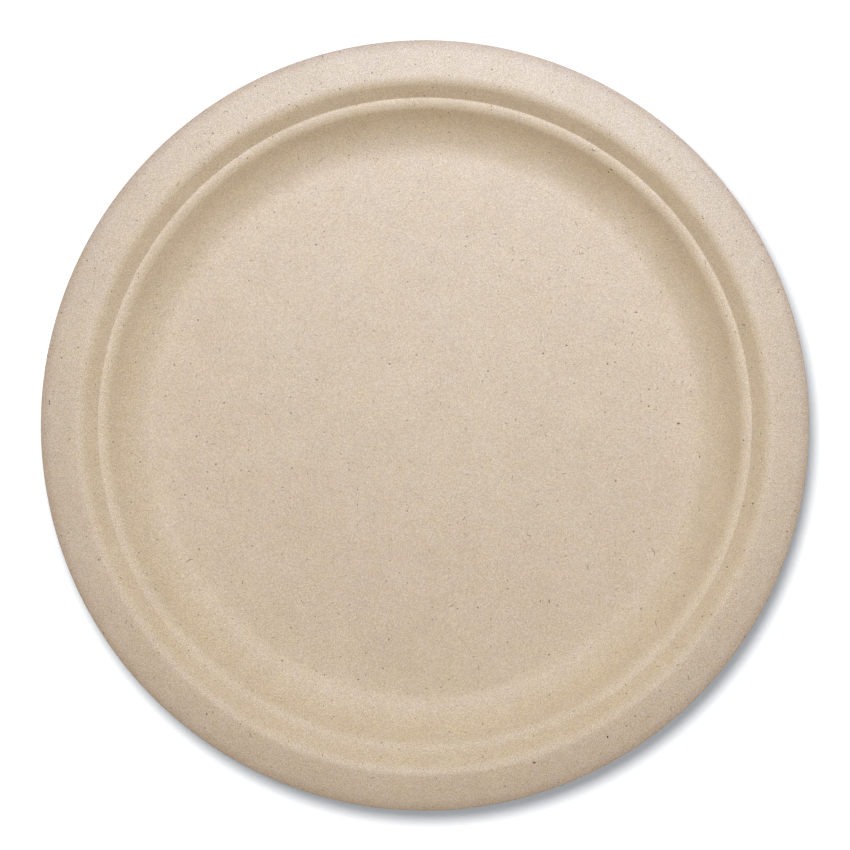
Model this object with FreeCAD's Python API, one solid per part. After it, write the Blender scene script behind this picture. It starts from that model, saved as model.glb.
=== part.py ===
import FreeCAD, Part
import math
import os
from collections import namedtuple

# Round dinner plate, pressed in one piece from unbleached plant fibre.
# Lengths are millimetres and angles are degrees. +Z is up, the plate stands
# on the plane z = 0, and the origin is the centre of its foot.

# Driving dimensions. The shape sizes are those of the upper face, which is
# the face of the mould, and the underside follows it at the sheet's thickness.
plate_diameter = 254.0
wall_thickness = 0.8

# Side of the well, from the flat floor up to the stacking ledge. It leaves the
# floor in a tight bend, which opens into a wider one towards the straight wall.
fillet_radius = 12.0
fillet_angle = 31.5
side_radius = 25.5
wall_angle = 54.5
wall_slant = 3.3
rollover_radius = 4.6

# Narrow ledge that keeps a plate stacked above apart. It rises a little
# outwards, so that stacked plates let go, and meets the step in a sharp corner.
ledge_width = 0.5
ledge_rise_angle = 4.5

# Step from the ledge up to the shoulder of the rim.
step_angle = 50.0
step_slant = 5.6
shoulder_radius = 4.95

# Rim, which is gently crowned. It falls a little where the shoulder ends, and
# more at the trimmed edge, which is cut square to the sheet.
crest_fall_angle = 1.5
rim_crown_radius = 71.0
rim_fall_angle = 10.5

# One stretch of the section. A straight has a length only. A bend has a
# radius, which is zero at a sharp corner, and its turn is positive where the
# sheet curls upwards.
Stretch = namedtuple("Stretch", "length radius turn")


def straight(length):
    return Stretch(length, 0.0, 0.0)


def bend(radius, turn):
    return Stretch(0.0, radius, math.radians(turn))


def profile():
    """Stretches of the section in order, from the well's floor to the trimmed edge."""
    return [
        bend(fillet_radius, fillet_angle),
        bend(side_radius, wall_angle - fillet_angle),
        straight(wall_slant),
        bend(rollover_radius, ledge_rise_angle - wall_angle),
        straight(ledge_width),
        bend(0.0, step_angle - ledge_rise_angle),
        straight(step_slant),
        bend(shoulder_radius, -step_angle - crest_fall_angle),
        bend(rim_crown_radius, crest_fall_angle - rim_fall_angle),
    ]


def along(point, heading, distance):
    """Point at a distance from another, in a direction in the X-Z plane."""
    step = FreeCAD.Vector(math.cos(heading), 0.0, math.sin(heading))
    return point + step * distance


def trace(start, stretches, depth):
    """Edges of the line that runs a depth below the section, with its last point.

    A bend keeps its centre, so below the sheet an upward bend has a larger
    radius and a downward bend a smaller one. A sharp corner has no arc.
    """
    edges = []
    point = start
    heading = 0.0
    for stretch in stretches:
        if stretch.turn == 0.0:
            end = along(point, heading, stretch.length)
            edges.append(Part.makeLine(point, end))
        else:
            side = math.copysign(1.0, stretch.turn)
            radius = stretch.radius + side * depth
            centre = along(point, heading + side * math.pi / 2, radius)
            middle = along(centre, heading + stretch.turn / 2 - side * math.pi / 2, radius)
            end = along(centre, heading + stretch.turn - side * math.pi / 2, radius)
            if radius > 0.0:
                edges.append(Part.Arc(point, middle, end).toShape())
        heading += stretch.turn
        point = end
    return edges, point


def reach(stretches):
    """Width of the section outside the flat floor, measured across the plate."""
    edges, end = trace(FreeCAD.Vector(0.0, 0.0, 0.0), stretches, 0.0)
    return end.x


def section_face(stretches):
    """Half section of the sheet: upper face, trimmed edge, underside and axis."""
    well_radius = plate_diameter / 2 - reach(stretches)
    floor = [straight(well_radius)]
    upper_start = FreeCAD.Vector(0.0, 0.0, wall_thickness)
    lower_start = FreeCAD.Vector(0.0, 0.0, 0.0)
    upper, upper_end = trace(upper_start, floor + stretches, 0.0)
    lower, lower_end = trace(lower_start, floor + stretches, wall_thickness)
    trimmed_edge = Part.makeLine(upper_end, lower_end)
    axis_edge = Part.makeLine(lower_start, upper_start)
    outline = Part.Wire(Part.__sortEdges__(upper + [trimmed_edge] + lower + [axis_edge]))
    return Part.Face(outline), well_radius


def make_plate():
    """The plate: its half section turned once round the Z axis."""
    face, well_radius = section_face(profile())
    plate = face.revolve(FreeCAD.Vector(0, 0, 0), FreeCAD.Vector(0, 0, 1), 360.0)
    return plate, well_radius


plate, well_radius = make_plate()
box = plate.optimalBoundingBox(True, False)
print(f"plate: {plate.ShapeType}, valid {plate.isValid()}, {len(plate.Faces)} faces")
print(f"across {box.XLength:.2f} x {box.YLength:.2f}, height {box.ZLength:.2f}, foot at z {box.ZMin:.3f}")
print(f"flat floor of the well {2 * well_radius:.2f} across, volume {plate.Volume / 1000:.2f} cm3")

os.makedirs("parts", exist_ok=True)
plate.exportStep("parts/plate.step")
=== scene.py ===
# %% [markdown]
# # A dinner plate pressed from plant fibre
# The real plate starts as a wet felt of plant fibres on a screen. Two hot dies
# press it dry, and a cutting ring trims its edge. It is one thin sheet, with no
# coating and no printing, so its looks come from its section, from the cloudy
# felt and from the darker strands that were pressed into it.
# This lesson loads the measured model first, because everything that follows
# has to lie in the same place and keep the same size.

# %% Load the measured model
import math
import bmesh
import bpy
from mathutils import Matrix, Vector
from mathutils.bvhtree import BVHTree


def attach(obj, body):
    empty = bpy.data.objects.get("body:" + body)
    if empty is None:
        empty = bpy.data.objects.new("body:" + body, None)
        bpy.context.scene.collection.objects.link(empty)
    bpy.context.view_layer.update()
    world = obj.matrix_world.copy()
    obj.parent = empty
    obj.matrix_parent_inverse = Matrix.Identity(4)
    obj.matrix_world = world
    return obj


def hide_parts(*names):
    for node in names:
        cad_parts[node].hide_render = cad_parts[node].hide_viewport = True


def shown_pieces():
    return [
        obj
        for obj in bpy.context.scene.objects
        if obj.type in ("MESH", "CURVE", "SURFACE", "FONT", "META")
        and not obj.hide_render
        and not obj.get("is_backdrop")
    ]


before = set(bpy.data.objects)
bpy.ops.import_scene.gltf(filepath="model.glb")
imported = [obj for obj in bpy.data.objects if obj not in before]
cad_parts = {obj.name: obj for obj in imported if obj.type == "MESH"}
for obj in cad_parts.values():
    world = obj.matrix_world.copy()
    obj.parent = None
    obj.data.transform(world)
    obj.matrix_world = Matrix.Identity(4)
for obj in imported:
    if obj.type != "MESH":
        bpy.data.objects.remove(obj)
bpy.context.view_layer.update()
MM = 0.001

# %% [markdown]
# ## The section
# A plate like this is round, so half of its section says everything about its
# shape. The die maker draws it as a chain of straight runs and tangent bends,
# and so does this cell: each run has a length, and each bend has a radius and a
# turn. A Bezier curve drawn by hand would give the same look, but not the same
# millimetres. Angles are in degrees, lengths in millimetres.

# %% Sizes of the section
SHEET = 0.8
RADIUS = 127.0
FILLET_RADIUS, FILLET_ANGLE = 12.0, 31.5
SIDE_RADIUS, WALL_ANGLE, WALL_SLANT = 25.5, 54.5, 3.3
ROLLOVER_RADIUS, LEDGE_WIDTH, LEDGE_RISE = 4.6, 0.5, 4.5
FOOT_ROUNDING, STEP_ANGLE, STEP_SLANT = 0.5, 50.0, 5.6
SHOULDER_RADIUS, CREST_FALL = 4.95, 1.5
CROWN_RADIUS, RIM_FALL = 71.0, 10.5

# The foot of the step is sharp in the die, and the felt bridges it with a
# small rounding, which takes a little off the runs on both sides.
foot_tangent = FOOT_ROUNDING * math.tan(math.radians((STEP_ANGLE - LEDGE_RISE) / 2))

# Length, radius and turn, from the flat floor out to the edge.
CHAIN = [
    (0.0, FILLET_RADIUS, FILLET_ANGLE),
    (0.0, SIDE_RADIUS, WALL_ANGLE - FILLET_ANGLE),
    (WALL_SLANT, 0.0, 0.0),
    (0.0, ROLLOVER_RADIUS, LEDGE_RISE - WALL_ANGLE),
    (LEDGE_WIDTH - foot_tangent, 0.0, 0.0),
    (0.0, FOOT_ROUNDING, STEP_ANGLE - LEDGE_RISE),
    (STEP_SLANT - foot_tangent, 0.0, 0.0),
    (0.0, SHOULDER_RADIUS, -STEP_ANGLE - CREST_FALL),
    (0.0, CROWN_RADIUS, CREST_FALL - RIM_FALL),
]
print(len(CHAIN), "stretches from the floor to the edge")

# %% [markdown]
# ## Walking along the chain
# The chain becomes points by walking along it with a heading, as a turtle does.
# The underside is the same walk at the sheet's thickness below: there a bend
# keeps its centre, so its radius grows or shrinks by the thickness. The faces
# stay parallel everywhere, as they are in a sheet pressed between two dies.

# %% Points of both faces
# The first three are millimetres, and the fourth is degrees of a bend.
LONG_RUN, LONG_STEP, SHORT_STEP, BEND_STEP = 20.0, 9.0, 1.3, 4.5
FEWEST_BEND_STEPS = 3


def walk(chain, r, z, depth):
    """Points (r, z) of the line that lies a depth below the chain."""
    points = [(r, z)]
    heading = 0.0
    for length, radius, turn in chain:
        if turn == 0.0:
            steps = max(1, math.ceil(length / (LONG_STEP if length > LONG_RUN else SHORT_STEP)))
            for i in range(steps):
                r += math.cos(heading) * length / steps
                z += math.sin(heading) * length / steps
                points.append((r, z))
            continue
        side = math.copysign(1.0, turn)
        offset_radius = radius + side * depth
        arc = offset_radius * abs(math.radians(turn))
        steps = max(FEWEST_BEND_STEPS, math.ceil(abs(turn) / BEND_STEP), math.ceil(arc / SHORT_STEP))
        centre_r = r - side * math.sin(heading) * offset_radius
        centre_z = z + side * math.cos(heading) * offset_radius
        for i in range(1, steps + 1):
            h = heading + math.radians(turn) * i / steps
            r = centre_r + side * math.sin(h) * offset_radius
            z = centre_z - side * math.cos(h) * offset_radius
            points.append((r, z))
        heading += math.radians(turn)
    return points


reach = walk(CHAIN, 0.0, 0.0, 0.0)[-1][0]
floor_radius = RADIUS - reach
upper_line = walk([(floor_radius, 0.0, 0.0)] + CHAIN, 0.0, SHEET, 0.0)
lower_line = walk([(floor_radius, 0.0, 0.0)] + CHAIN, 0.0, 0.0, SHEET)
crest = max(z for r, z in upper_line)
edge_height = upper_line[-1][1]
print(f"flat floor {2 * floor_radius:.2f} mm across, crest {crest:.2f} mm, edge {edge_height:.2f} mm high")

# %% [markdown]
# ## The trimmed edge
# The cutting ring leaves a nearly square edge, but pressed fibre is never quite
# sharp: the two corners are worn round by a fifth of a millimetre. The same
# small rounding could come from a Bevel modifier. Here it is put in the section
# itself, where it costs a few rings of points and nothing else.

# %% Round the corners of the edge and close the outline
EDGE_ROUNDING = 0.22


def rounded(before, corner, after, radius, steps=4):
    """The corner of a line, replaced by points on a tangent arc."""
    a = (Vector(before) - Vector(corner)).normalized()
    b = (Vector(after) - Vector(corner)).normalized()
    half = a.angle(b) / 2
    tangent = radius / math.tan(half)
    centre = Vector(corner) + (a + b).normalized() * radius / math.sin(half)
    start = Vector(corner) + a * tangent - centre
    end = Vector(corner) + b * tangent - centre
    return [tuple(centre + start.slerp(end, i / steps).normalized() * radius) for i in range(steps + 1)]


outer, inner = upper_line[-1], lower_line[-1]
edge_points = rounded(upper_line[-2], outer, inner, EDGE_ROUNDING)
edge_points += rounded(outer, inner, lower_line[-2], EDGE_ROUNDING)
outline = upper_line[:-1] + edge_points + lower_line[-2::-1]
print(f"closed outline of {len(outline)} points")

# %% [markdown]
# ## Helpers for node trees
# Both the shape and the finish are made by nodes. Adding nodes one at a time
# takes many lines, so these helpers add a node, fill its sockets and link it in
# one call. A value that is a socket gets linked, and any other value is set on
# the socket itself.

# %% Node helpers
def put(tree, kind, values=None, **settings):
    """Adds a node; values maps an input's place or name to a value or a socket."""
    made = tree.nodes.new(kind)
    for key, value in settings.items():
        setattr(made, key, value)
    for key, value in (values or {}).items():
        socket = made.inputs[key]
        if isinstance(value, bpy.types.NodeSocket):
            tree.links.new(value, socket)
        else:
            socket.default_value = value
    return made


def plain_math(tree, operation, *values):
    """One Math node; returns its output."""
    return put(tree, "ShaderNodeMath", dict(enumerate(values)), operation=operation).outputs[0]


def vector_math(tree, operation, *values, output=0):
    """One Vector Math node; returns the asked output."""
    return put(tree, "ShaderNodeVectorMath", dict(enumerate(values)), operation=operation).outputs[output]


def spread_range(tree, value, low, high, to_low, to_high):
    """One Map Range node; returns the value moved from one range to another, and held at its ends."""
    return put(tree, "ShaderNodeMapRange", {0: value, 1: low, 2: high, 3: to_low, 4: to_high}).outputs[0]


def blend_colour(tree, factor, first, second, kind="MIX"):
    """One Mix node on colours; returns its colour."""
    colours = {0: factor, 6: first, 7: second}
    return put(tree, "ShaderNodeMix", colours, data_type="RGBA", blend_type=kind).outputs[2]


print("node helpers ready")

# %% [markdown]
# ## Helpers for shape trees
# A Geometry Nodes tree is a small machine with labelled dials. The first helper
# gives a tree its dials. The second one puts it on an object, sets the dials by
# their identifiers, and takes the result off again as a plain mesh, because the
# finished piece is to carry no modifier.

# %% Make and run a shape tree
def shape_tree(name, sockets):
    """An empty Geometry Nodes tree with named inputs after its geometry."""
    tree = bpy.data.node_groups.new(name, "GeometryNodeTree")
    tree.interface.new_socket("Geometry", in_out="INPUT", socket_type="NodeSocketGeometry")
    for label, kind in sockets:
        tree.interface.new_socket(label, in_out="INPUT", socket_type="NodeSocket" + kind)
    tree.interface.new_socket("Geometry", in_out="OUTPUT", socket_type="NodeSocketGeometry")
    return tree, tree.nodes.new("NodeGroupInput").outputs, tree.nodes.new("NodeGroupOutput").inputs


def run_tree(thing, tree, values):
    """Runs a tree on an object with its inputs set, and returns the plain mesh."""
    modifier = thing.modifiers.new(tree.name, "NODES")
    modifier.node_group = tree
    for item in tree.interface.items_tree:
        if item.in_out == "INPUT" and item.name in values:
            modifier[item.identifier] = values[item.name]
    evaluated = thing.evaluated_get(bpy.context.evaluated_depsgraph_get())
    mesh = bpy.data.meshes.new_from_object(evaluated)
    thing.modifiers.remove(modifier)
    return mesh


def link_object(name, mesh):
    """A new object at the origin, in the scene."""
    thing = bpy.data.objects.new(name, mesh)
    bpy.context.scene.collection.objects.link(thing)
    return thing


print("shape tree helpers ready")

# %% [markdown]
# ## The felt's colour
# The sheet is unbleached pulp: a warm beige that is cloudy at every scale. Up
# close it is a mottle of single fibres less than a millimetre wide, and a hand's
# width away it drifts a little towards yellow or pink, where the slurry settled
# thicker. One noise texture with many octaves could stand for all of it, but
# then every scale would be equally strong. Separate layers, each with its own
# strength, follow the real sheet more closely. The near side is also painted a
# touch yellower than the far side: that is painted shade, away from the bluish
# lamp.
# The pattern reads Object coordinates in millimetres, so its grain keeps its
# size and never slides. Noise is weaker on the planes of its own grid, and the
# plate's floor is such a plane. So the height is tilted with x and y, and the
# floor cuts through the grid at a slant.

# %% Cloudy felt
# A layer is its scale per millimetre, its strength, a shift of its own and, in
# some of the later lists, the detail that its noise has.
FELT_LAYERS = [(4.0, 1.22, 3.0), (0.25, 0.062, 11.0), (0.12, 0.055, 23.0), (0.06, 0.07, 37.0)]
CAST_LAYERS = [(0.50, 0.08, 41.0), (0.25, 0.09, 47.0), (0.06, 0.05, 51.0)]
FELT_DARK, FELT_LIGHT = (0.367, 0.252, 0.146, 1.0), (0.913, 0.808, 0.694, 1.0)
CAST_PINK, CAST_YELLOW = (0.9, 1.0, 1.5, 1.0), (1.1, 1.0, 0.5, 1.0)
# Painted shade: the near side, away from the bluish lamp, leans towards yellow.
NEAR_SIDE_SHADE_LEAN = (0.0, -0.00015, 0.0)
NO_TINT = (1.0, 1.0, 1.0, 1.0)
GRID_TILT = (0.41, 0.29, 0.0)
SHIFT_WAY = (1.0, 0.7, 1.3)


def millimetres(tree):
    """Object coordinates in millimetres, with a height that is tilted for the noise."""
    place = put(tree, "ShaderNodeTexCoord").outputs["Object"]
    place = vector_math(tree, "MULTIPLY", place, (1 / MM, 1 / MM, 1 / MM))
    tilt = vector_math(tree, "DOT_PRODUCT", place, GRID_TILT, output="Value")
    return vector_math(tree, "ADD", place, put(tree, "ShaderNodeCombineXYZ", {2: tilt}).outputs[0])


def layer(tree, coords, per_mm, strength, shift, detail=0.0):
    """Noise round zero at one scale, times a strength."""
    moved = vector_math(tree, "ADD", coords, tuple(shift * part for part in SHIFT_WAY))
    noise = put(tree, "ShaderNodeTexNoise", {"Vector": moved, "Scale": per_mm, "Detail": detail})
    return plain_math(tree, "MULTIPLY", plain_math(tree, "SUBTRACT", noise.outputs["Fac"], 0.5), strength)


def layers(tree, coords, middle, rows):
    """Several layers of noise, added to a middle value."""
    total = middle
    for row in rows:
        total = plain_math(tree, "ADD", total, layer(tree, coords, *row))
    return total


def felt_colour(tree, coords):
    """Light and dark fibres, with a slow drift between pink and yellow, and painted shade that makes the near
    side yellower.
    """
    colour = blend_colour(tree, layers(tree, coords, 0.5, FELT_LAYERS), FELT_DARK, FELT_LIGHT)
    # Painted shade: the near side leans towards the yellow end of the cast.
    shade_lean = plain_math(tree, "ADD", vector_math(tree, "DOT_PRODUCT", coords, NEAR_SIDE_SHADE_LEAN, output="Value"), 0.5)
    cast = blend_colour(tree, layers(tree, coords, shade_lean, CAST_LAYERS), CAST_PINK, CAST_YELLOW)
    return blend_colour(tree, 1.0, colour, cast, "MULTIPLY")


print(len(FELT_LAYERS) + len(CAST_LAYERS), "layers of noise")

# %% [markdown]
# ## Specks
# Fine dust of bark lies all through the pulp, three or four specks on each
# square centimetre, and half of them faint. There are far too many to model. A
# Voronoi texture drops one point in each of its cells and tells how far off the
# nearest one is, so a small distance is a round dot. Its random colour decides
# which cells have a speck and how large it is, and a little noise on the
# coordinates spoils the roundness.

# %% Bark dust
SPECKS_PER_MM, SPECK_CHOICE, SPECK_RADIUS, SPECK_BLUR = 0.36, 0.66, 0.24, 0.14
SPECK_WARP, WARP_PER_MM = 0.5, 1.7
SPECK_TINT = (0.34, 0.28, 0.22, 1.0)


def with_specks(tree, coords, colour):
    """The colour with small dark specks scattered over it."""
    shake = put(tree, "ShaderNodeTexNoise", {"Vector": coords, "Scale": WARP_PER_MM, "Detail": 0.0})
    warp = (SPECK_WARP, SPECK_WARP, SPECK_WARP)
    shaken = vector_math(tree, "MULTIPLY_ADD", shake.outputs["Color"], warp, coords)
    cells = {"Vector": shaken, "Scale": SPECKS_PER_MM}
    dots = put(tree, "ShaderNodeTexVoronoi", cells, voronoi_dimensions="2D").outputs
    chance = put(tree, "ShaderNodeSeparateColor", {0: dots["Color"]}).outputs[0]
    radius = spread_range(tree, chance, SPECK_CHOICE, 1.0, -SPECK_BLUR, SPECK_RADIUS)
    off_centre = plain_math(tree, "MULTIPLY", dots["Distance"], 1 / SPECKS_PER_MM)
    beyond = plain_math(tree, "SUBTRACT", off_centre, radius)
    share = spread_range(tree, beyond, -SPECK_BLUR / 2, SPECK_BLUR / 2, 1.0, 0.0)
    return blend_colour(tree, 1.0, colour, blend_colour(tree, share, NO_TINT, SPECK_TINT), "MULTIPLY")


print("specks up to", 2 * SPECK_RADIUS, "mm across")

# %% [markdown]
# ## Steep faces and the trimmed edge
# The dies close along the plate's axis, so they iron the steep faces harder
# than the flat ones, and the wall and the step come out a little smoother. Their
# colour is painted a little yellower, as painted shade, and the flat faces a touch
# bluer, as a painted sheen. Towards the edge the sheet darkens, where the cutting
# ring pinches it, and the cut itself is browner.
# All of this depends only on how far a spot lies from the axis. It could be
# painted on a UV map, but a colour ramp over the radius needs no map, and it can
# be read as a table.

# %% Tints by radius
# Radius in millimetres and how much the spot is ironed and tinted with painted shade, from 0 to 1.
IRONED_AND_SHADED = [
    (87.5, 0.30), (95.7, 0.63), (99.2, 0.99), (102.2, 0.98), (104.9, 0.85), (106.5, 0.56), (107.6, 0.45),
    (109.4, 0.93), (111.0, 1.00), (113.0, 0.71), (114.6, 0.30), (117.9, 0.20), (121.8, 0.10), (124.8, 0.0),
]
# Painted sheen: flat faces a touch bluer. Painted shade: the steep wall and step yellower.
FLAT_SHEEN_TINT, STEEP_SHADE_TINT = (1.0, 1.0, 1.03, 1.0), (1.02, 1.0, 0.92, 1.0)
PINCHED_FROM, PINCHED_TO, PINCHED_TINT = 123.5, 126.8, (0.82, 0.77, 0.755, 1.0)
CUT_FROM, CUT_TO, CUT_TINT = 126.6, 127.1, (0.86, 0.79, 0.70, 1.0)
RAMP_FROM, RAMP_TO = 80.0, 130.0
RAGGED_LAYER = (0.5, 0.5, 63.0, 2.0)


def ironed_and_shaded_share(tree, radius):
    """The table above as a ramp over the radius."""
    ramp = put(tree, "ShaderNodeValToRGB", {0: spread_range(tree, radius, RAMP_FROM, RAMP_TO, 0.0, 1.0)})
    stops = ramp.color_ramp.elements
    while len(stops) < len(IRONED_AND_SHADED):
        stops.new(0.5)
    for stop, (at, share) in zip(stops, IRONED_AND_SHADED):
        stop.position = (at - RAMP_FROM) / (RAMP_TO - RAMP_FROM)
        stop.color = (share, share, share, 1.0)
    return ramp.outputs[0]


def tint_by_radius(tree, coords, colour):
    """Steep faces painted yellower as shade, flat ones a touch bluer as sheen, a darker pinched edge and a
    brown cut; also returns the ironed and shaded share.
    """
    flat = vector_math(tree, "MULTIPLY", coords, (1.0, 1.0, 0.0))
    radius = vector_math(tree, "LENGTH", flat, output="Value")
    ironed_and_shaded = ironed_and_shaded_share(tree, radius)
    # Painted shade on the steep faces, painted sheen on the flat ones.
    colour = blend_colour(tree, 1.0, colour, blend_colour(tree, ironed_and_shaded, FLAT_SHEEN_TINT, STEEP_SHADE_TINT), "MULTIPLY")
    ragged = plain_math(tree, "ADD", radius, layer(tree, coords, *RAGGED_LAYER))
    for start, end, tint in ((PINCHED_FROM, PINCHED_TO, PINCHED_TINT), (CUT_FROM, CUT_TO, CUT_TINT)):
        share = spread_range(tree, ragged, start, end, 0.0, 1.0)
        colour = blend_colour(tree, 1.0, colour, blend_colour(tree, share, NO_TINT, tint), "MULTIPLY")
    return colour, ironed_and_shaded


print("ironed most at", max(IRONED_AND_SHADED, key=lambda row: row[1])[0], "mm from the axis")

# %% [markdown]
# ## Relief of the two faces
# The upper face is pressed by a polished die and keeps only a faint tooth of
# fibres. The underside dried on the forming screen, and the screen's weave
# stays in it as rows of tiny cushions. Both are far too fine for real geometry,
# so they go into a Bump node. The weave is the product of two sine waves, which
# is cheaper and more even than a texture of dots.

# %% Finish of both faces
SCREEN_PITCH, WEAVE_SHARE = 0.7, 0.35
RELIEF_LAYERS, RELIEF_DEPTH = [(1.9, 1.0, 71.0, 1.0), (0.3, 1.2, 83.0, 1.0)], 0.04
ROUGH_FLAT, ROUGH_IRONED = 0.55, 0.52


def screen_weave(tree, coords):
    """Cushions from the screen's wires, in rows half a pitch apart."""
    parts = put(tree, "ShaderNodeSeparateXYZ", {0: coords}).outputs
    angles = [plain_math(tree, "MULTIPLY", part, 2 * math.pi / SCREEN_PITCH) for part in parts[:2]]
    waves = [plain_math(tree, "SINE", angle) for angle in angles]
    return plain_math(tree, "MULTIPLY", plain_math(tree, "MULTIPLY", *waves), WEAVE_SHARE)


def fibre_finish(name, screen_side):
    """The pressed felt, with the die's or the screen's relief."""
    material = bpy.data.materials.new(name)
    material.use_nodes = True
    tree = material.node_tree
    shader = tree.nodes["Principled BSDF"]
    coords = millimetres(tree)
    colour = with_specks(tree, coords, felt_colour(tree, coords))
    colour, ironed_and_shaded = tint_by_radius(tree, coords, colour)
    relief = layers(tree, coords, 0.0, RELIEF_LAYERS)
    if screen_side:
        relief = plain_math(tree, "ADD", relief, screen_weave(tree, coords))
    bump = put(tree, "ShaderNodeBump", {"Strength": 1.0, "Distance": RELIEF_DEPTH * MM, "Height": relief})
    tree.links.new(colour, shader.inputs["Base Color"])
    tree.links.new(spread_range(tree, ironed_and_shaded, 0.0, 1.0, ROUGH_FLAT, ROUGH_IRONED), shader.inputs["Roughness"])
    tree.links.new(bump.outputs[0], shader.inputs["Normal"])
    return material


die_finish = fibre_finish("pressed_fibre_sheet", False)
screen_finish = fibre_finish("screen_side_sheet", True)
print("finishes:", die_finish.name, "and", screen_finish.name)

# %% [markdown]
# ## The lathe
# The sheet is a body of revolution that has dried a little out of true: its
# floor bows up by a quarter of a millimetre, its rim waves by some tenths, and
# its outline is a touch oval. A Screw modifier would turn the section, and give
# a perfect ring. Geometry Nodes can turn it and bend it in one go: a grid has
# one row for each point of the section and one column for each step of the
# turn, and every grid point is moved to where its row and column say. The seam
# and the two poles close when doubles are merged.

# %% Lathe tree
WAVE_CUT, WAVE_SCALE = 0.37, 1.1
MERGE_WITHIN = 0.001


def grid_and_section(tree, section, turns):
    """The grid, with the section's radius and height and the angle at each of its points."""
    size = put(tree, "GeometryNodeAttributeDomainSize", {0: section}, component="MESH")
    rings = size.outputs["Point Count"]
    columns = put(tree, "FunctionNodeIntegerMath", {0: turns, 1: 1}, operation="ADD").outputs[0]
    sides = {"Size X": 1.0, "Size Y": 1.0, "Vertices X": rings, "Vertices Y": columns}
    grid = put(tree, "GeometryNodeMeshGrid", sides).outputs["Mesh"]
    index = put(tree, "GeometryNodeInputIndex").outputs[0]
    row = put(tree, "FunctionNodeIntegerMath", {0: index, 1: columns}, operation="DIVIDE_FLOOR").outputs[0]
    column = put(tree, "FunctionNodeIntegerMath", {0: index, 1: columns}, operation="MODULO").outputs[0]
    here = put(tree, "GeometryNodeInputPosition").outputs[0]
    sample = put(tree, "GeometryNodeSampleIndex", {0: section}, data_type="FLOAT_VECTOR", domain="POINT")
    tree.links.new(here, sample.inputs["Value"])
    tree.links.new(row, sample.inputs["Index"])
    parts = put(tree, "ShaderNodeSeparateXYZ", {0: sample.outputs[0]}).outputs
    angle = plain_math(tree, "MULTIPLY", plain_math(tree, "DIVIDE", column, turns), 2 * math.pi)
    return grid, parts[0], parts[2], angle


def lathe_tree():
    """The tree that turns a section round the axis and bends what it makes."""
    tree, given, result = shape_tree("turn_section", [
        ("Turns", "Int"), ("Ovality", "Float"), ("Wander", "Float"), ("Rim wave", "Float"),
        ("Floor bow", "Float"), ("Floor radius", "Float"), ("Rim radius", "Float"), ("Material", "Material"),
    ])
    grid, radius, height, angle = grid_and_section(tree, given["Geometry"], given["Turns"])
    cosine = plain_math(tree, "COSINE", angle)
    sine = plain_math(tree, "SINE", angle)

    # One slow noise round the plate drives both the wave of the rim and the wander of the outline.
    direction = put(tree, "ShaderNodeCombineXYZ", {0: cosine, 1: sine, 2: WAVE_CUT}).outputs[0]
    slow = {"Vector": direction, "Scale": WAVE_SCALE, "Detail": 1.0}
    noise = put(tree, "ShaderNodeTexNoise", slow).outputs["Fac"]
    outwards = spread_range(tree, radius, given["Floor radius"], given["Rim radius"], 0.0, 1.0)
    wave = plain_math(tree, "MULTIPLY", plain_math(tree, "MULTIPLY", noise, given["Rim wave"]),
                      plain_math(tree, "MULTIPLY", outwards, outwards))

    # The bow is highest on the axis and ends where the floor ends.
    across = plain_math(tree, "MINIMUM", plain_math(tree, "DIVIDE", radius, given["Floor radius"]), 1.0)
    dome = plain_math(tree, "SUBTRACT", 1.0, plain_math(tree, "MULTIPLY", across, across))
    bow = plain_math(tree, "MULTIPLY", dome, given["Floor bow"])

    shrink = plain_math(tree, "SUBTRACT", 1.0, plain_math(tree, "MULTIPLY", noise, given["Wander"]))
    radius = plain_math(tree, "MULTIPLY", radius, shrink)
    squeeze = plain_math(tree, "SUBTRACT", 1.0, given["Ovality"])
    x = plain_math(tree, "MULTIPLY", plain_math(tree, "MULTIPLY", radius, cosine), squeeze)
    y = plain_math(tree, "MULTIPLY", radius, sine)
    z = plain_math(tree, "ADD", plain_math(tree, "SUBTRACT", height, wave), bow)
    spot = put(tree, "ShaderNodeCombineXYZ", {0: x, 1: y, 2: z}).outputs[0]

    moved = put(tree, "GeometryNodeSetPosition", {"Geometry": grid, "Position": spot}).outputs[0]
    close = {"Geometry": moved, "Distance": MERGE_WITHIN * MM}
    merged = put(tree, "GeometryNodeMergeByDistance", close).outputs[0]
    smooth = put(tree, "GeometryNodeSetShadeSmooth", {"Geometry": merged}).outputs[0]
    real = put(tree, "GeometryNodeRealizeInstances", {"Geometry": smooth}).outputs[0]
    painted = put(tree, "GeometryNodeSetMaterial", {"Geometry": real, "Material": given["Material"]})
    tree.links.new(painted.outputs[0], result[0])
    return tree


lathe = lathe_tree()
print("lathe tree has", len(lathe.nodes), "nodes")

# %% [markdown]
# ## Turning the section
# The section goes into the lathe as a bare line of points. 480 steps round the
# plate keep the edge smooth in a close view, at well under 200,000 triangles.
# Afterwards the mesh is tested as a 3-D printer would do it: every edge has two
# faces, and the volume inside is positive, which it is only when the faces
# point outwards.

# %% Turn the section
LATHE_SIZES = {
    "Turns": 480, "Ovality": 0.003, "Wander": 0.0008, "Rim wave": 0.6 * MM, "Floor bow": 0.25 * MM,
    "Floor radius": floor_radius * MM, "Rim radius": RADIUS * MM, "Material": die_finish,
}


def turned(name, points):
    """The surface that a line of section points sweeps out, as a plain mesh."""
    mesh = bpy.data.meshes.new(name + "_section")
    places = [(r * MM, 0.0, z * MM) for r, z in points]
    mesh.from_pydata(places, [(i, i + 1) for i in range(len(points) - 1)], [])
    line = link_object(name + "_section", mesh)
    swept = run_tree(line, lathe, LATHE_SIZES)
    swept.name = name
    bpy.data.objects.remove(line)
    return swept


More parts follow.
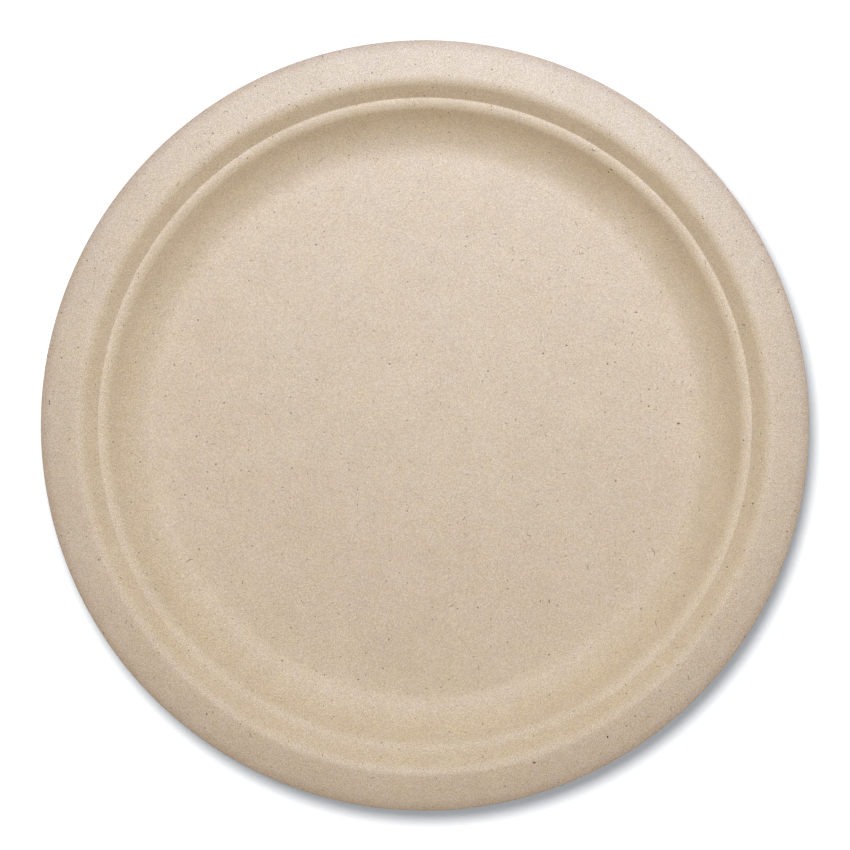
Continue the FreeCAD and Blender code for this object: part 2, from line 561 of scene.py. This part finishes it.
def closed_volume(mesh):
    """Volume inside a mesh, negative if its faces point inwards, and its number of open edges."""
    copy = bmesh.new()
    copy.from_mesh(mesh)
    volume = copy.calc_volume(signed=True)
    open_edges = sum(1 for e in copy.edges if not e.is_manifold)
    copy.free()
    return volume, open_edges


def triangle_count(mesh):
    """Number of triangles in a mesh."""
    return sum(len(p.vertices) - 2 for p in mesh.polygons)


plate_mesh = turned("fibre_plate", outline)
if closed_volume(plate_mesh)[0] < 0.0:
    plate_mesh.flip_normals()
volume, open_edges = closed_volume(plate_mesh)
print(f"plate: {triangle_count(plate_mesh)} triangles, {volume * 1e6:.2f} cm3, {open_edges} open edges")

# %% [markdown]
# ## Two faces, two finishes
# The plate is one sheet, so it stays one mesh. Its underside gets the screen's
# finish through a second material slot. A face belongs to the underside where it
# looks clearly down. The cut edge looks sideways, and keeps the first finish.
# Then the plate takes the place of the measured solid.

# %% Give the underside its finish
LOOKS_DOWN = -0.3


def piece(name, mesh):
    """An object for a finished mesh, which rides on the part's one body."""
    thing = link_object(name, mesh)
    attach(thing, "root")
    return thing


plate_mesh.materials.clear()
plate_mesh.materials.append(die_finish)
plate_mesh.materials.append(screen_finish)
for face in plate_mesh.polygons:
    face.material_index = 1 if face.normal.z < LOOKS_DOWN else 0
plate = piece("fibre_plate", plate_mesh)
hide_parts("plate")
print(sum(1 for face in plate_mesh.polygons if face.material_index == 1), "faces on the screen side")

# %% [markdown]
# ## One strand
# Pulp is never quite clean. Curved dark fibres, pale ones and crumbs of bark
# stay in it and are pressed flush into both faces. The finish could paint them,
# but a painted line has no thickness where it is seen from the side, so they
# are real, very thin bodies. Each is a short Bezier curve with a ring of four
# points swept along it, tapered to its ends and flattened. It remembers its own
# height, which tells later how proud of the face each point may stand.

# %% One bent strand
STRAND_BENDS = (0.05, -0.18, 0.34, 0.5)
STRAND_FLATNESS, STRAND_TAPER, STRAND_BLUNTNESS = 0.3, 0.8, 3.0
STRAND_STEPS, STRAND_SIDES = 6, 4


def strand(tree, length, width, bend):
    """One bent strand along X, tapered to its ends and flattened."""
    half = plain_math(tree, "MULTIPLY", length, 0.5)
    start = put(tree, "ShaderNodeCombineXYZ", {0: plain_math(tree, "MULTIPLY", half, -1.0)}).outputs[0]
    ahead = plain_math(tree, "MULTIPLY", half, bend)
    aside = plain_math(tree, "MULTIPLY", length, bend)
    middle = put(tree, "ShaderNodeCombineXYZ", {0: ahead, 1: aside}).outputs[0]
    end = put(tree, "ShaderNodeCombineXYZ", {0: half}).outputs[0]
    line = put(tree, "GeometryNodeCurveQuadraticBezier", {
        "Resolution": STRAND_STEPS, "Start": start, "Middle": middle, "End": end}).outputs[0]
    along = put(tree, "GeometryNodeSplineParameter").outputs["Factor"]
    off_centre = plain_math(tree, "ABSOLUTE", plain_math(tree, "MULTIPLY_ADD", along, 2.0, -1.0))
    narrower = plain_math(tree, "POWER", off_centre, STRAND_BLUNTNESS)
    taper = plain_math(tree, "MULTIPLY_ADD", narrower, -STRAND_TAPER, 1.0)
    ring = put(tree, "GeometryNodeCurvePrimitiveCircle", {
        "Resolution": STRAND_SIDES, "Radius": plain_math(tree, "MULTIPLY", width, 0.5)}).outputs[0]
    tube = put(tree, "GeometryNodeCurveToMesh", {
        "Curve": line, "Profile Curve": ring, "Scale": taper, "Fill Caps": True}).outputs[0]
    squash = (1.0, 1.0, STRAND_FLATNESS)
    flat = put(tree, "GeometryNodeTransform", {"Geometry": tube, "Scale": squash}).outputs[0]
    here = put(tree, "GeometryNodeInputPosition").outputs[0]
    height = put(tree, "ShaderNodeSeparateXYZ", {0: here}).outputs[2]
    marked = put(tree, "GeometryNodeStoreNamedAttribute", {
        "Geometry": flat, "Name": "proud", "Value": height}, data_type="FLOAT", domain="POINT").outputs[0]
    return put(tree, "GeometryNodeGeometryToInstance", {0: marked}).outputs[0]


print(len(STRAND_BENDS), "kinds of bend")

# %% [markdown]
# ## Scattering and wrapping the strands
# Nobody lays hundreds of strands by hand. One tree spreads points over a face,
# puts one of the bent strands on each, turns and sizes it at random from a fixed
# seed, and then wraps it onto the face. Without the wrap a strand on the rim
# would be a chord across the curve, with its middle buried and its ends in the
# air. On the foot nothing may stand proud, because the plate lies on it.

# %% Tree that presses strands into a face
def scattered(tree, given):
    """Strands lying on the face, each turned and sized at random."""
    spread = put(tree, "GeometryNodeDistributePointsOnFaces", {
        "Mesh": given["Geometry"], "Density": given["Per square metre"], "Seed": given["Seed"]}).outputs
    kinds = put(tree, "GeometryNodeJoinGeometry")
    for bend in STRAND_BENDS:
        tree.links.new(strand(tree, given["Length"], given["Width"], bend), kinds.inputs[0])
    turn = put(tree, "FunctionNodeRandomValue", {
        2: 0.0, 3: 2 * math.pi, "Seed": 1}, data_type="FLOAT").outputs[1]
    spin = put(tree, "FunctionNodeAxisAngleToRotation", {0: (0.0, 0.0, 1.0), 1: turn}).outputs[0]
    lying = put(tree, "FunctionNodeRotateRotation", {
        0: spread["Rotation"], 1: spin}, rotation_space="LOCAL").outputs[0]
    pick = put(tree, "FunctionNodeRandomValue", {
        4: 0, 5: len(STRAND_BENDS) - 1, "Seed": 2}, data_type="INT").outputs[2]
    size = put(tree, "FunctionNodeRandomValue", {
        2: given["Smallest"], 3: given["Largest"], "Seed": 3}, data_type="FLOAT").outputs[1]
    scale = put(tree, "ShaderNodeCombineXYZ", {0: size, 1: size, 2: size}).outputs[0]
    laid = put(tree, "GeometryNodeInstanceOnPoints", {
        "Points": spread[0], "Instance": kinds.outputs[0], "Pick Instance": True, "Instance Index": pick,
        "Rotation": lying, "Scale": scale}).outputs[0]
    return put(tree, "GeometryNodeRealizeInstances", {"Geometry": laid}).outputs[0]


def nearest_on(tree, face, kind):
    """What a field has at the nearest spot of the face."""
    value = put(tree, kind).outputs[0]
    sample = put(tree, "GeometryNodeSampleNearestSurface", {"Mesh": face}, data_type="FLOAT_VECTOR")
    tree.links.new(value, sample.inputs["Value"])
    return sample.outputs[0]


def strand_tree():
    """The tree that scatters strands over a face and wraps them onto it."""
    tree, given, result = shape_tree("press_strands", [
        ("Per square metre", "Float"), ("Seed", "Int"), ("Length", "Float"), ("Width", "Float"),
        ("Smallest", "Float"), ("Largest", "Float"), ("Material", "Material"),
    ])
    strands = scattered(tree, given)
    proud = put(tree, "GeometryNodeInputNamedAttribute", {"Name": "proud"}, data_type="FLOAT").outputs[0]
    out = nearest_on(tree, given["Geometry"], "GeometryNodeInputNormal")
    lift = put(tree, "ShaderNodeVectorMath", {0: out, "Scale": proud}, operation="SCALE").outputs[0]
    touch = nearest_on(tree, given["Geometry"], "GeometryNodeInputPosition")
    parts = put(tree, "ShaderNodeSeparateXYZ", {0: vector_math(tree, "ADD", touch, lift)}).outputs
    above = plain_math(tree, "MAXIMUM", parts[2], 0.0)
    spot = put(tree, "ShaderNodeCombineXYZ", {0: parts[0], 1: parts[1], 2: above}).outputs[0]
    wrapped = put(tree, "GeometryNodeSetPosition", {"Geometry": strands, "Position": spot}).outputs[0]
    clean = put(tree, "GeometryNodeRemoveAttribute", {"Geometry": wrapped, "Name": "proud"}).outputs[0]
    smooth = put(tree, "GeometryNodeSetShadeSmooth", {"Geometry": clean}).outputs[0]
    painted = put(tree, "GeometryNodeSetMaterial", {"Geometry": smooth, "Material": given["Material"]})
    tree.links.new(painted.outputs[0], result[0])
    return tree


presser = strand_tree()
print("strand tree has", len(presser.nodes), "nodes")

# %% [markdown]
# ## What the strands are made of
# There are three kinds: brown fibres, pale fibres that are a touch glossier than
# the felt, and dark crumbs of bark. A strand is too small to have a pattern, so
# its finish is a plain colour. It drifts slowly over the plate, which makes
# every strand a little different without a finish for each.

# %% Finishes of the strands
STRAND_MOTTLE = [(0.35, 1.6, 5.0, 1.0)]


def strand_finish(name, dark, light, roughness):
    """A plain matt colour that varies from strand to strand."""
    material = bpy.data.materials.new(name)
    material.use_nodes = True
    tree = material.node_tree
    shader = tree.nodes["Principled BSDF"]
    mottle = layers(tree, millimetres(tree), 0.5, STRAND_MOTTLE)
    tree.links.new(blend_colour(tree, mottle, (*dark, 1.0), (*light, 1.0)), shader.inputs["Base Color"])
    shader.inputs["Roughness"].default_value = roughness
    return material


dark_finish = strand_finish("dark_strand", (0.26, 0.19, 0.12), (0.46, 0.36, 0.26), 0.6)
pale_finish = strand_finish("pale_strand", (0.70, 0.60, 0.48), (0.78, 0.69, 0.58), 0.5)
bark_finish = strand_finish("bark_crumb", (0.06, 0.04, 0.03), (0.19, 0.13, 0.09), 0.7)
print("finishes:", [finish.name for finish in (dark_finish, pale_finish, bark_finish)])

# %% [markdown]
# ## Pressing them in
# The strands need the two faces of the sheet without its edge, so the lathe
# turns the upper and the lower line once more, as open faces that are thrown
# away afterwards. Each kind of strand becomes one piece, for both faces.

# %% Press the strands into both faces
def open_face(name, line, up):
    """One face of the sheet, with its normals up or down."""
    mesh = turned(name, line)
    if (sum(p.normal.z * p.area for p in mesh.polygons) > 0.0) != up:
        mesh.flip_normals()
    return link_object(name, mesh)


faces = (open_face("top_face", upper_line, True), open_face("under_face", lower_line[::-1], False))


def pressed(name, per_plate, length, width, smallest, largest, finish, seed):
    """Strands pressed into both faces, as one piece."""
    area = math.pi * (RADIUS * MM) ** 2
    whole = bmesh.new()
    for number, face in enumerate(faces):
        mesh = run_tree(face, presser, {
            "Per square metre": per_plate / area, "Seed": seed + number,
            "Length": length * MM, "Width": width * MM,
            "Smallest": smallest, "Largest": largest, "Material": finish})
        whole.from_mesh(mesh)
        bpy.data.meshes.remove(mesh)
    made = bpy.data.meshes.new(name)
    whole.to_mesh(made)
    whole.free()
    made.materials.append(finish)
    made.polygons.foreach_set("material_index", [0] * len(made.polygons))
    print(f"{name}: {triangle_count(made)} triangles")
    return piece(name, made)


# Strands on one face of the plate, their length and width in millimetres, the
# smallest and the largest share of these, the finish and the seed.
pressed("dark_strands", 16, 2.8, 0.24, 0.6, 1.2, dark_finish, 3)
pressed("short_strands", 120, 1.5, 0.19, 0.6, 1.3, dark_finish, 13)
pressed("pale_strands", 110, 2.2, 0.20, 0.6, 1.3, pale_finish, 23)
pressed("bark_crumbs", 60, 0.42, 0.36, 0.6, 1.2, bark_finish, 33)
for face in faces:
    bpy.data.objects.remove(face)

# %% [markdown]
# ## Marks of this one plate
# Scattered strands make a plate of this kind. A few larger flecks make it this
# plate: a hair across the foot of the step, two dots at the left edge, a curl on
# the right rim. They are laid one by one, each with its place, its length and
# width in millimetres and its direction in degrees. A ray from above finds the
# face under each of its points, which is simpler than a tree when every place
# is already known.

# %% Places of the largest marks
BARK_MARKS = [
    (36.0, -110.9, 0.86, 0.75, 161), (84.5, 0.5, 1.08, 0.59, 14), (60.2, -102.5, 0.88, 0.65, 95),
    (-71.8, -95.1, 0.58, 0.62, 78), (23.4, 63.9, 1.18, 0.33, 179), (-36.3, 60.2, 0.58, 0.60, 68),
    (70.4, 37.7, 0.58, 0.60, 114), (-11.7, 20.5, 0.58, 0.60, 80), (-119.6, 22.3, 0.83, 0.39, 133),
    (-60.7, -52.3, 1.22, 0.27, 86), (21.1, 18.2, 0.82, 0.40, 178), (60.8, 20.5, 0.55, 0.58, 19),
    (39.4, 24.0, 0.59, 0.52, 108), (74.6, 6.4, 0.54, 0.58, 115), (-75.6, 35.1, 0.54, 0.57, 42),
    (69.1, 30.7, 0.78, 0.39, 49), (27.1, 0.8, 1.03, 0.29, 165), (-76.2, -3.7, 0.53, 0.56, 0),
    (69.6, -35.4, 0.50, 0.57, 86), (-44.3, -14.3, 0.48, 0.59, 66), (-12.0, -71.4, 0.61, 0.45, 87),
    (29.2, 55.0, 0.97, 0.28, 61), (-45.5, 41.1, 0.95, 0.28, 85), (-40.9, -58.7, 1.25, 0.26, 121),
    (38.5, -58.5, 0.96, 0.26, 93), (60.8, 50.9, 1.21, 0.26, 170), (-58.8, 101.2, 0.48, 0.50, 133),
    (-107.3, -44.2, 0.57, 0.39, 108), (26.5, -118.8, 0.47, 0.49, 90), (-123.6, 7.9, 0.60, 0.50, 90),
    (-123.6, 7.1, 0.60, 0.50, 90), (55.8, 91.0, 1.50, 0.34, 148), (61.7, 84.7, 1.40, 0.34, 144),
]
FIBRE_MARKS = [
    (46.6, -16.2, 1.5, 0.34, 6), (-76.1, 16.6, 1.7, 0.34, 71), (40.4, -3.1, 1.7, 0.34, 103),
    (-70.9, 93.2, 1.4, 0.34, 103), (51.7, 57.3, 1.4, 0.34, 107), (0.5, -87.6, 1.3, 0.34, 153),
    (-62.5, -3.7, 2.4, 0.20, 53), (-18.9, -14.1, 1.3, 0.34, 29), (-43.3, 16.5, 1.7, 0.20, 92),
    (19.2, 56.3, 1.9, 0.18, 128), (116.3, 8.2, 3.0, 0.22, 100), (-61.7, 88.7, 1.6, 0.24, 125),
    (54.9, -100.0, 2.6, 0.18, 95), (-34.9, 88.0, 1.2, 0.26, 20),
]
print(len(BARK_MARKS), "crumbs and", len(FIBRE_MARKS), "fibres are laid by hand")

# %% [markdown]
# ## Laying a mark
# A mark is a flat lens: seven stations along a slightly bent line, with a
# diamond of four points at each. The two side points lie just under the face,
# the top one stands a few hundredths of a millimetre proud, and the bottom one
# is sunk in the sheet.

# %% Lay the marks
STATIONS, MARK_SWAY, MARK_TAPER, MARK_BLUNTNESS = 7, 0.12, 0.60, 2.5
MARK_RISE, MARK_TALLEST, MARK_SUNK = 0.12, 0.06, 0.01
RAY_HEIGHT, STRAIGHT_DOWN = 50.0, Vector((0.0, 0.0, -1.0))

plate_points = [v.co for v in plate_mesh.vertices]
plate_faces = BVHTree.FromPolygons(plate_points, [p.vertices for p in plate_mesh.polygons])


def lens_sections(x, y, length, width, direction):
    """Places on the plate of a mark's points: for each station its left, top, right and bottom."""
    a = math.radians(direction)
    ahead, aside = Vector((math.cos(a), math.sin(a), 0.0)), Vector((-math.sin(a), math.cos(a), 0.0))
    rise = min(MARK_RISE * width, MARK_TALLEST)
    for i in range(STATIONS):
        t = 2.0 * i / (STATIONS - 1) - 1.0
        share = 1.0 - MARK_TAPER * abs(t) ** MARK_BLUNTNESS
        sway = (1.0 - t * t) * length * MARK_SWAY
        middle = Vector((x, y, RAY_HEIGHT)) + ahead * (t * length / 2) + aside * sway
        reach_out = aside * (share * width / 2)
        diamond = [(reach_out, -MARK_SUNK), (Vector(), rise * share)]
        diamond += [(-reach_out, -MARK_SUNK), (Vector(), -rise)]
        for shift, lift in diamond:
            spot, normal = plate_faces.ray_cast((middle + shift) * MM, STRAIGHT_DOWN)[:2]
            yield spot + normal * lift * MM


def laid_marks(name, rows, finish):
    """One mesh of all the marks of one finish."""
    points, quads = [], []
    for row in rows:
        first = len(points)
        points.extend(lens_sections(*row))
        for i in range(STATIONS - 1):
            here = first + 4 * i
            quads += [(here + k, here + 4 + k, here + 4 + (k + 1) % 4, here + (k + 1) % 4) for k in range(4)]
        last = first + 4 * (STATIONS - 1)
        quads += [(first, first + 1, first + 2, first + 3), (last + 3, last + 2, last + 1, last)]
    mesh = bpy.data.meshes.new(name)
    mesh.from_pydata(points, [], quads)
    mesh.materials.append(finish)
    mesh.shade_smooth()
    volume, open_edges = closed_volume(mesh)
    if volume < 0.0:
        mesh.flip_normals()
    print(f"{name}: {triangle_count(mesh)} triangles, {open_edges} open edges")
    return piece(name, mesh)


laid_marks("bark_marks", BARK_MARKS, bark_finish)
laid_marks("fibre_marks", FIBRE_MARKS, dark_finish)

# %% [markdown]
# ## Floor
# Under the plate lies a plain white table. Seen by the camera it has to come out
# white, and it still has to show the plate's soft shadow. More light would do
# the first and spoil the plate's own colour. So the whiteness is put in the
# table's material: Light Path tells whether a ray comes from the camera, and
# only such a ray finds the slightly glowing white. All other light meets a
# plain diffuse table. Far from the plate, where the table's lamp no longer
# reaches, the glow rises, so that the table stays white in a low view.

# %% Floor
# Metres, but the drop is in millimetres.
TABLE_HALF, FAR_FROM, FAR_TO = 3.0, 0.2, 1.3
TABLE_DROP = 0.05
TABLE_COLOUR = (0.8, 0.8, 0.8, 1.0)
SEEN_COLOUR = (0.9, 0.9, 0.9, 1.0)
SEEN_GLOW, FAR_GLOW = (0.169, 0.220, 0.298, 1.0), (0.95, 0.95, 0.95, 1.0)


def sees_background(tree):
    """One for a ray from the camera, a mirror or glass, and zero for plain light."""
    path = put(tree, "ShaderNodeLightPath").outputs
    mirrored = plain_math(tree, "MAXIMUM", path["Is Glossy Ray"], path["Is Transmission Ray"])
    return plain_math(tree, "MAXIMUM", path["Is Camera Ray"], mirrored)


def white_table_finish():
    """Plain white for all light, with a slight glow that only the camera sees."""
    material = bpy.data.materials.new("white_table")
    material.use_nodes = True
    tree = material.node_tree
    tree.nodes.remove(tree.nodes["Principled BSDF"])
    plain = put(tree, "ShaderNodeBsdfDiffuse", {"Color": TABLE_COLOUR}).outputs[0]
    white = put(tree, "ShaderNodeBsdfDiffuse", {"Color": SEEN_COLOUR}).outputs[0]
    place = put(tree, "ShaderNodeTexCoord").outputs["Object"]
    distance = vector_math(tree, "LENGTH", place, output="Value")
    far = spread_range(tree, distance, FAR_FROM, FAR_TO, 0.0, 1.0)
    shade = blend_colour(tree, far, SEEN_GLOW, FAR_GLOW)
    glow = put(tree, "ShaderNodeEmission", {"Color": shade, "Strength": 1.0}).outputs[0]
    both = put(tree, "ShaderNodeAddShader", {0: white, 1: glow}).outputs[0]
    mixed = put(tree, "ShaderNodeMixShader", {0: sees_background(tree), 1: plain, 2: both}).outputs[0]
    tree.links.new(mixed, tree.nodes["Material Output"].inputs["Surface"])
    return material


ways = ((-1, -1), (1, -1), (1, 1), (-1, 1))
corners = [(x * TABLE_HALF, y * TABLE_HALF, -TABLE_DROP * MM) for x, y in ways]
table_mesh = bpy.data.meshes.new("table_top")
table_mesh.from_pydata(corners, [], [(0, 1, 2, 3)])
table_mesh.materials.append(white_table_finish())
table_top = link_object("table_top", table_mesh)
table_top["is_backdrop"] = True
print("table lies", TABLE_DROP, "mm below the foot")

# %% [markdown]
# ## Lamps
# The pale rim at the far side and the darker one at the near side say that the
# plate is lit by a lamp close to its far side. A second, softer one hangs above
# it. The short, soft shadow comes from higher up than the first lamp, so the
# table has a light of its own. Light linking makes that possible: each light
# has a list of the things that it shines on.
# The first lamp is a little blue, like daylight, and the rest of the light is
# warm. A level of 1 is the light at which white renders as white on a face
# turned to the lamp. The levels add up to about 1 in each colour on the plate's
# floor, so its colour renders as it is written.

# %% Lamps
def towards(azimuth, zenith):
    """Direction from the plate to a lamp, with both angles in degrees."""
    a, z = math.radians(azimuth), math.radians(zenith)
    return Vector((math.cos(a) * math.sin(z), math.sin(a) * math.sin(z), math.cos(z)))


def lamp(name, azimuth, zenith, distance, size, level, lit):
    """A round soft lamp that faces the plate and shines on the given things only."""
    light = bpy.data.lights.new(name, "AREA")
    light.shape = "DISK"
    light.size = size
    strongest = max(level)
    light.color = [part / strongest for part in level]
    light.energy = strongest * (math.pi * distance) ** 2
    thing = bpy.data.objects.new(name, light)
    bpy.context.scene.collection.objects.link(thing)
    thing.location = towards(azimuth, zenith) * distance
    thing.rotation_euler = towards(azimuth, zenith).to_track_quat("Z", "Y").to_euler()
    only = bpy.data.collections.new("lit_by_" + name)
    for receiver in lit:
        only.objects.link(receiver)
    thing.light_linking.receiver_collection = only
    print(f"{name}: {light.energy:.2f} W")


# Both angles, then the distance and the size in metres, and the level.
lamp("soft_box", 78.0, 36.0, 0.45, 0.30, (0.345, 0.424, 0.550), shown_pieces())
lamp("overhead_box", 90.0, 12.0, 0.65, 0.35, (0.501, 0.471, 0.430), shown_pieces())
lamp("table_box", 117.5, 11.1, 1.28, 0.35, (0.87, 0.87, 0.87), [table_top])

# %% [markdown]
# ## Sky
# What is left of the light comes from all around, and it is warm, as from the
# wooden walls of a room. An image of a studio could give it, but a plain world
# colour is enough for a matt thing. The camera sees a white backdrop instead.

# %% Sky
SKY_LEVEL, BACKDROP = (0.190, 0.153, 0.068, 1.0), (1.0, 1.0, 1.0, 1.0)

world = bpy.data.worlds.new("sky")
world.use_nodes = True
bpy.context.scene.world = world
sky = world.node_tree
soft_sky = sky.nodes["Background"]
soft_sky.inputs["Color"].default_value = SKY_LEVEL
soft_sky.inputs["Strength"].default_value = 1.0
backdrop = put(sky, "ShaderNodeBackground", {"Color": BACKDROP, "Strength": 1.0})
mixed_sky = put(sky, "ShaderNodeMixShader", {
    0: sees_background(sky), 1: soft_sky.outputs[0], 2: backdrop.outputs[0]})
sky.links.new(mixed_sky.outputs[0], sky.nodes["World Output"].inputs["Surface"])
print("sky level", SKY_LEVEL[:3])

# %% [markdown]
# ## Camera
# The picture looks straight down on the plate. From close by, the walls of the
# well would look wider than they do from far above, so the camera is far away
# and its lens is long. It stands a tenth of a millimetre off the axis, because
# the plate isn't quite in the middle of the picture. The focal length follows
# from the width that the frame has to take in at the height of the plate's edge.

# %% Camera
# The height is in metres, the shift and the sensor are in millimetres.
CAMERA_HEIGHT, FARTHEST_SEEN = 1.5, 50.0
CAMERA_SHIFT = 0.12
SENSOR_WIDTH = 36.0

# In pixels: the side of the picture and the radius of the plate's outline.
PICTURE_SIDE = 850
OUTLINE_RADIUS = 385.67

frame_width = PICTURE_SIDE * RADIUS * MM / OUTLINE_RADIUS
camera_data = bpy.data.cameras.new("overhead")
camera = bpy.data.objects.new("overhead", camera_data)
bpy.context.scene.collection.objects.link(camera)
camera.location = (0.0, CAMERA_SHIFT * MM, CAMERA_HEIGHT)
camera_data.sensor_width = SENSOR_WIDTH
camera_data.lens = SENSOR_WIDTH * (CAMERA_HEIGHT - edge_height * MM) / frame_width
camera_data.clip_end = FARTHEST_SEEN
bpy.context.scene.camera = camera
bpy.context.scene.view_settings.view_transform = "Standard"
print(f"lens {camera_data.lens:.1f} mm")
